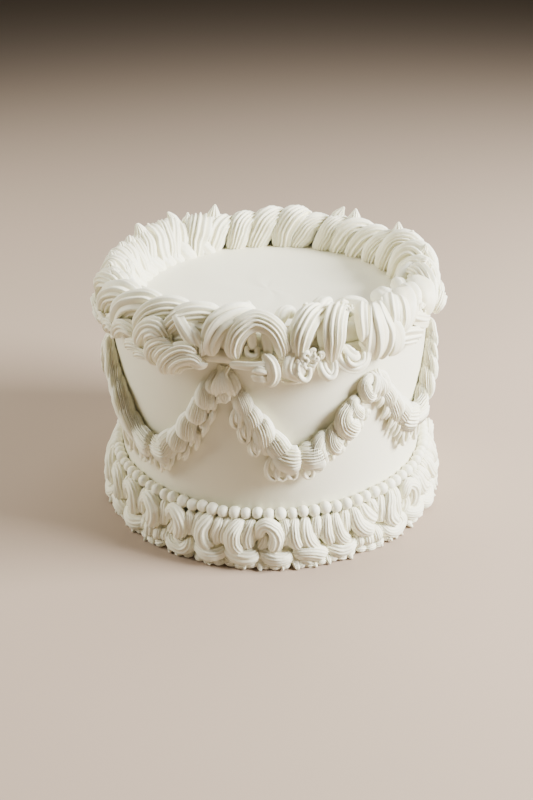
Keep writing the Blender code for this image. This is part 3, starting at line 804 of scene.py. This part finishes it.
def makeSwag(number, first, low, last):
    rng = random.Random(garlands["seed"] + number)
    run, flat = garlandLine(first, low, last)
    bottom = run[np.argmin(flat[:, 1])]
    pleats, strands = [], []

    def sizeAt(middle):  # widest at the lowest point, slim at the peaks
        side = -1 if middle < bottom else 1
        share = (middle - bottom) / (bottom if side < 0 else run[-1] - bottom)
        width = np.interp(abs(share), (0, 0.35, 0.8, 1), (1.06, 1.02, 0.86, 0.6))
        broad = garlands["broad"].get((number, side), 1.0) - 1
        broad *= np.interp(abs(share), (0.15, 0.45), (0, 1))
        return (1 + broad) * width * rng.uniform(0.94, 1.06)

    def lay(shape, middle, size, way, stretch=1.0, jitter=0.5):
        rows = []
        for along, across, lift, thick in shape:
            angle, height = besideLine(run, flat, middle + way * along * size * stretch,
                                       across * size + rng.uniform(-jitter, jitter))
            rows.append((angle, height, cakeRadius + lift * size, thick * size))
        return rows

    def hang(shape, middle, across, size):
        angle, height = besideLine(run, flat, middle, across)
        side, drop = rng.uniform(0.7, 1.2) * size, rng.uniform(0.65, 1.15) * size
        rows = [(angle + math.degrees(aside * side / cakeRadius), height + down * drop, cakeRadius + lift,
                 thick) for aside, down, lift, thick in shape]
        strands.append(freeStroke(rows, rng, 14, endRound=0.3))

    def frayEnd(middle, size, way):
        for _ in range(7):
            aside = rng.uniform(-4.6, 3.4)
            end = middle + way * (5.4 + 0.9 * math.sqrt(max(0, 1 - (aside / 5) ** 2))) * size
            rows = []
            for along, across, lift, thick in fray:
                angle, height = besideLine(run, flat, end + way * along,
                                           (aside - 0.6) * size + across * aside)
                rows.append((angle, height, cakeRadius + lift * size, thick))
            strands.append(freeStroke(rows, rng, 9, endRound=0.2))

    def placesAlong(start, end):
        count = max(1, round(abs(end - start) / garlands["spacing"]))
        return [start + (end - start) * (k + rng.uniform(-0.14, 0.14)) / count for k in range(count + 1)]

    for k in range(-3, 4):
        side, long = 0.95 * k + rng.uniform(-0.25, 0.25), rng.uniform(0.8, 1.2)
        rows = [(first[0] + spread * side, first[1] + drop * long, cakeRadius + lift, thick)
                for spread, drop, lift, thick in bunch]
        strands.append(freeStroke(rows, rng, 16, endRound=0.3))
    for middle in placesAlong(garlands["ends"][0], bottom - garlands["arms"][0]):
        size = sizeAt(middle)
        pleats.append(freeStroke(lay(lengthwise, middle, size, 1, 1.2), rng, 24, flat=0.46, endRound=0.4))
        if number == garlands["tasselled"]:
            for step in range(3):
                hang(hangingTail, middle + 2.2 * step, rng.uniform(-5.0, -3.4) * size, size * 1.1)
        elif middle < bottom - 8:
            for along, across, share in garlands["loops"]:
                hang(hangingLoop, middle + along, across * size, size * share)
    for middle in placesAlong(run[-1] - garlands["ends"][1], bottom + garlands["arms"][1]):
        size = sizeAt(middle)
        if number == garlands["curled"]:
            curl = size * rng.uniform(0.9, 1.22)
            pleats.append(freeStroke(lay(hooked, middle, curl, -1, jitter=0.9), rng, 24, flat=0.34))
            frayEnd(middle + 3.0, curl * 0.9, -1)
            for _ in range(4):
                hang(hangingTail, middle + rng.uniform(-3, 2), rng.uniform(-6.4, -5) * size, 0.55 * size)
        else:
            pleats.append(freeStroke(lay(pleat, middle, size, -1, 1.3), rng, 20, flat=0.42, endRound=0.8))
            frayEnd(middle, size, -1)
            for _ in range(3):
                hang(hangingTail, middle - rng.uniform(0, 8), rng.uniform(-5.0, -3.0) * size, size * 1.1)
    for along in garlands["fans"]:
        for aside, across, share in garlands["lowLoops"]:
            hang(hangingLoop, bottom + along + aside, across, share)
        rows = lay(fan, bottom + along, rng.uniform(0.94, 1.04), 1)
        pleats.append(freeStroke(rows, rng, 18, flat=0.5, startRound=0.35, endRound=0.35))
    made = [pipe(f"swagPleats{number}", pleats, "fine", 10 + number),
            pipe(f"swagStrands{number}", strands, "strand", 20 + number)]
    return join(f"swag{number}", made)


for number, (first, low, last) in enumerate(
        zip(garlands["peaks"], garlands["lows"], garlands["peaks"][1:]), start=1):
    settle(makeSwag(number, first, low, last), f"swag_{number}")


# Pearls

pearls = {"Count": 95, "Ring Radius": 80.7 * mm, "Height": 26.2 * mm, "Bead Radius": 2.85 * mm,
          "Size Spread": 0.08, "Drift": 0.5 * mm, "Seed": 4}


def makePearlTree():
    graph, given = newGeometryTree("beadString", {
        "Count": 12, "Ring Radius": 0.05, "Height": 0.0, "Bead Radius": 0.003, "Size Spread": 0.1,
        "Drift": 0.0, "Seed": 0, "Cream": None})

    def vector(x=0.0, y=0.0, z=0.0):
        return graph.output("ShaderNodeCombineXYZ", {0: x, 1: y, 2: z})

    circle = graph.output("GeometryNodeMeshCircle", {
        "Vertices": given["Count"], "Radius": given["Ring Radius"]})
    drift = Number(graph, given["Drift"])
    low = vector(drift * -0.6, drift * -0.6, drift * -1.0)
    high = vector(drift * 0.6, drift * 0.6, drift)
    stray = graph.output("FunctionNodeRandomValue", {"Min": low, "Max": high, "Seed": given["Seed"]},
                         data_type="FLOAT_VECTOR")
    shift = graph.output("ShaderNodeVectorMath", {0: vector(z=given["Height"]), 1: stray}, operation="ADD")
    points = graph.output("GeometryNodeSetPosition", {"Geometry": circle, "Offset": shift})
    bead = graph.output("GeometryNodeMeshUVSphere", {
        "Segments": 14, "Rings": 9, "Radius": given["Bead Radius"]})
    spread = Number(graph, given["Size Spread"])
    size = graph.number("FunctionNodeRandomValue", {
        "Min": 1.0 - spread, "Max": 1.0 + spread, "Seed": given["Seed"]}, "Value", data_type="FLOAT")
    beads = graph.output("GeometryNodeInstanceOnPoints", {
        "Points": points, "Instance": bead, "Scale": vector(size, size, size * 1.04)})
    return finishTree(graph, beads, given["Cream"])


def makePearls():
    obj = newObject("pearls", bpy.data.meshes.new("pearls"))
    runTree(obj, makePearlTree(), {**pearls, "Cream": pipedCream})
    faceOutwards(obj)
    return obj


settle(makePearls(), "pearl_string")
print("pearls set")


# Base border: hooked shells, bulging folds below them and a frilled foot

border = {"units": 34, "distance": 84.0, "seed": 51, "pitchJitter": 0.05, "sizeJitter": 0.08}
hooks = (  # along, height, distance and thickness of the strokes under the pearls, in four manners
    (((2.6, 24, 80.4, 2.4), (0.2, 21.6, 83, 3.5), (-1.7, 17.4, 84.9, 4.2), (-1.4, 13, 85.6, 4.5),
      (1, 9.6, 85.6, 4.2), (3.8, 7.8, 84.8, 3)),
     ((6.8, 24, 80.2, 2.2), (5.6, 20.6, 82.6, 3.3), (4.2, 16, 83.8, 3.9), (4.6, 11.6, 84, 3.6),
      (6.4, 8.8, 83.4, 2.6)),
     ((-3, 24, 80.2, 2.2), (-4.8, 20, 82.6, 3.2), (-5.6, 15, 83.6, 3.6), (-4.4, 10.4, 83.6, 3))),
    (((-5.6, 15, 82.8, 2.4), (-5.2, 19.8, 84.2, 3), (-2.4, 22.6, 84.2, 3.5), (1.4, 20.8, 84.9, 3.8),
      (2.8, 16, 85.4, 4.2), (1.4, 11.4, 85.2, 4), (-1.2, 8.6, 84.2, 3)),
     ((5.8, 24, 80.4, 2.4), (7, 19.8, 82.8, 3.4), (6.8, 14.8, 83.4, 3.7), (5.6, 10, 83, 2.8)),
     ((-2.6, 17.4, 82, 2.4), (-2.8, 13.4, 83.2, 3), (-4.6, 10, 83.8, 3.2), (-6.6, 8.6, 83, 2.4))),
    (((-5.4, 24, 80.4, 2.4), (-5.8, 20.4, 83.2, 3.4), (-4.4, 15.8, 84.8, 4.1), (-0.6, 12.2, 85.3, 4.2),
      (4.2, 10.6, 84.8, 3.2)),
     ((-1, 24, 80.4, 2.2), (0, 20.4, 83, 3.2), (2.2, 16.6, 84.2, 3.7), (6, 13.4, 84, 3)),
     ((4.6, 24, 80.4, 2.2), (5.4, 20.6, 82.4, 2.9), (7.4, 16.8, 82.8, 2.8))),
    (((-4.4, 24, 80.4, 2.4), (-5.6, 20, 83.2, 3.5), (-5.4, 14.8, 84.8, 4.2), (-3.2, 9.6, 84.8, 3.6)),
     ((0.6, 24, 80.4, 2.2), (-0.6, 19.6, 83.4, 3.4), (0.4, 14.4, 85, 4.1), (3.4, 10, 85, 3.8),
      (6.4, 8.6, 84, 2.6)),
     ((6.2, 24, 80.4, 2.2), (4.8, 20, 82.8, 3.2), (5.4, 15.6, 83.4, 3.4), (7.6, 12.4, 82.6, 2.6))),
)
folds = (  # the strokes below them, in four manners
    (((-7.8, 8.8, 82.2, 3), (-4.2, 6.8, 85, 4.2), (0.4, 5.8, 86.2, 4.7), (5, 6.2, 85.4, 4.1),
      (8.2, 8.2, 82.6, 2.8)),),
    (((-6.6, 10.8, 82.4, 2.6), (-5.8, 6.6, 85.2, 3.7), (-2.2, 4.3, 86.6, 4), (2.6, 4.3, 86.6, 4),
      (5.8, 7, 85.6, 3.7), (5, 10.4, 84.6, 2.8)),
     ((-2.6, 9.6, 83, 3), (0.4, 7.8, 85, 3.7), (2.6, 9.6, 84, 2.6))),
    (((-6, 11.2, 82.8, 2.4), (-5.8, 7, 85.4, 3.3), (-5.6, 3, 86.4, 2.8)),
     ((-1.6, 11, 83.8, 2.6), (-1.2, 6.8, 86.4, 3.5), (-1.4, 2.8, 87.2, 3)),
     ((3, 11, 83.4, 2.6), (3.4, 6.8, 86, 3.5), (3.8, 2.8, 87, 3)),
     ((6.6, 10.4, 82.2, 2.4), (7.4, 6.4, 84.8, 3.2), (8, 3, 85.8, 2.6))),
    (((-7.4, 6, 82.8, 2.8), (-4.6, 7.6, 85, 3.8), (0, 8.2, 86, 4.2), (4.6, 6.6, 86, 4.3),
      (7.2, 3.6, 85.4, 3)),
     ((-6.4, 2.8, 84.6, 2.6), (-2.8, 3.8, 86.2, 3.4), (1.8, 3.2, 86.4, 3))),
)
skirt = ((-7, 2.4, 84.2, 1.9), (-4.8, 2, 87, 2.3), (-2.4, 1.7, 86.2, 2.1), (0, 1.8, 87.8, 2.4),
         (2.4, 1.7, 86.6, 2.1), (4.8, 2, 87.4, 2.3), (7.2, 2.4, 84.4, 1.8))
drip = ((0, 4.6, 85.4, 1.9), (0.1, 2.6, 87.4, 1.8), (0.5, 1.3, 88.8, 1.1), (0.8, 0.7, 89.9, 0.4))


def unitStroke(rows, angle, size, rng, steps, wander, **shape):
    placed = []
    for along, height, distance, thick in rows:
        placed.append((angle + math.degrees(along * size / border["distance"]),
                       height + rng.uniform(-wander, wander),
                       distance + rng.uniform(-wander, wander), thick * size))
    return freeStroke(placed, rng, steps, **shape)


def makeBorder():
    rng = random.Random(border["seed"])
    upper, middle, feet = [], [], []
    for unit in range(border["units"]):
        angle = 360 / border["units"] * (unit + border["pitchJitter"] * rng.uniform(-1, 1))
        size = 1 + border["sizeJitter"] * rng.uniform(-1, 1)
        for rows in rng.choice(hooks):
            upper.append(unitStroke(rows, angle, size, rng, 17, 0.5))
        for rows in rng.choice(folds):
            middle.append(unitStroke(rows, angle + 1.0, size, rng, 20, 0.5))
        feet.append(unitStroke(skirt, angle + 1.0, size, rng, 24, 0.4, flat=0.25))
        for _ in range(rng.choice((1, 2, 3))):
            feet.append(unitStroke(drip, angle + rng.uniform(-4.2, 4.8), rng.uniform(0.8, 1.1), rng, 9, 0.2,
                                   endRound=0.1))
    upper = [pipe("baseHooks", upper, "border", 6),
             pipe("baseFiller", [hoop(15.5, 79.0, 5.4)], "strand", 7)]
    lower = pipe("baseFolds", middle, "border", 8, 0.0)
    feet = pipe("baseFeet", feet, "foot", 9, 0.0)
    plinth = pipe("basePlinth", [hoop(6.0, 81.0, 5.6)], "strand", 11, 0.0)
    return join("baseShells", upper), join("baseRuffle", [lower, plinth]), feet


for borderPiece, node in zip(makeBorder(), ("base_shells", "base_ruffle", "base_ruffle")):
    settle(borderPiece, node)


# Floor, light and camera

stage = {"floor": (0.36, 0.275, 0.21), "roughness": 0.9, "size": 6.0, "air": (1.0, 0.9, 0.66),
         "airStrength": 0.06}


def makeStage():
    material = bpy.data.materials.new("floor")
    material.use_nodes = True
    shader = material.node_tree.nodes["Principled BSDF"]
    shader.inputs["Base Color"].default_value = (*stage["floor"], 1.0)
    shader.inputs["Roughness"].default_value = stage["roughness"]
    bm = bmesh.new()
    bmesh.ops.create_grid(bm, x_segments=1, y_segments=1, size=stage["size"])
    mesh = bpy.data.meshes.new("floor")
    bm.to_mesh(mesh)
    bm.free()
    mesh.materials.append(material)
    floor = newObject("floor", mesh)
    world = bpy.data.worlds.new("air")
    world.use_nodes = True
    air = world.node_tree.nodes["Background"]
    air.inputs["Color"].default_value = (*stage["air"], 1.0)
    air.inputs["Strength"].default_value = stage["airStrength"]
    bpy.context.scene.world = world


lamps = {  # place, size and strength of each soft box, all aimed at the cake
    "window": {"place": (0.86, -0.17, 0.53), "size": 0.42, "watts": 52.0, "colour": (1.0, 1.0, 0.985)},
    "room": {"place": (-0.9, 0.12, 0.48), "size": 0.6, "watts": 13.0, "colour": (1.0, 0.965, 0.86)},
    "ceiling": {"place": (0.1, 0.35, 1.05), "size": 0.6, "watts": 6.5, "colour": (1.0, 0.985, 0.93)},
}


def makeLamps():
    for name, lamp in lamps.items():
        light = bpy.data.lights.new(name, "AREA")
        light.shape = "SQUARE"
        light.size = lamp["size"]
        light.energy = lamp["watts"]
        light.color = lamp["colour"]
        obj = newObject(name, light)
        obj.location = lamp["place"]
        aim = Vector((0, 0, 0.07)) - Vector(lamp["place"])
        obj.rotation_euler = aim.to_track_quat("-Z", "Y").to_euler()


shot = {"place": (0.0001, -0.4409, 0.278), "turn": -0.27, "down": 28.11, "roll": -0.96,
        "focalPixels": 950, "photoHeight": 800, "sensor": 36.0}


def makeCamera():
    turn, down, roll = (math.radians(shot[k]) for k in ("turn", "down", "roll"))
    ahead = Vector((math.sin(turn) * math.cos(down), math.cos(turn) * math.cos(down), -math.sin(down)))
    right = Vector((math.cos(turn), -math.sin(turn), 0))
    up = right.cross(ahead)
    tiltedRight = right * math.cos(roll) + up * math.sin(roll)
    tiltedUp = up * math.cos(roll) - right * math.sin(roll)
    data = bpy.data.cameras.new("camera")
    data.sensor_width = shot["sensor"]
    data.lens = shot["focalPixels"] * shot["sensor"] / shot["photoHeight"]
    data.clip_start = 0.01
    camera = newObject("camera", data)
    rotation = Matrix((tiltedRight, tiltedUp, -ahead)).transposed().to_4x4()
    camera.matrix_world = Matrix.Translation(shot["place"]) @ rotation
    bpy.context.scene.camera = camera


makeStage()
makeLamps()
makeCamera()
print("stage, light and camera ready")
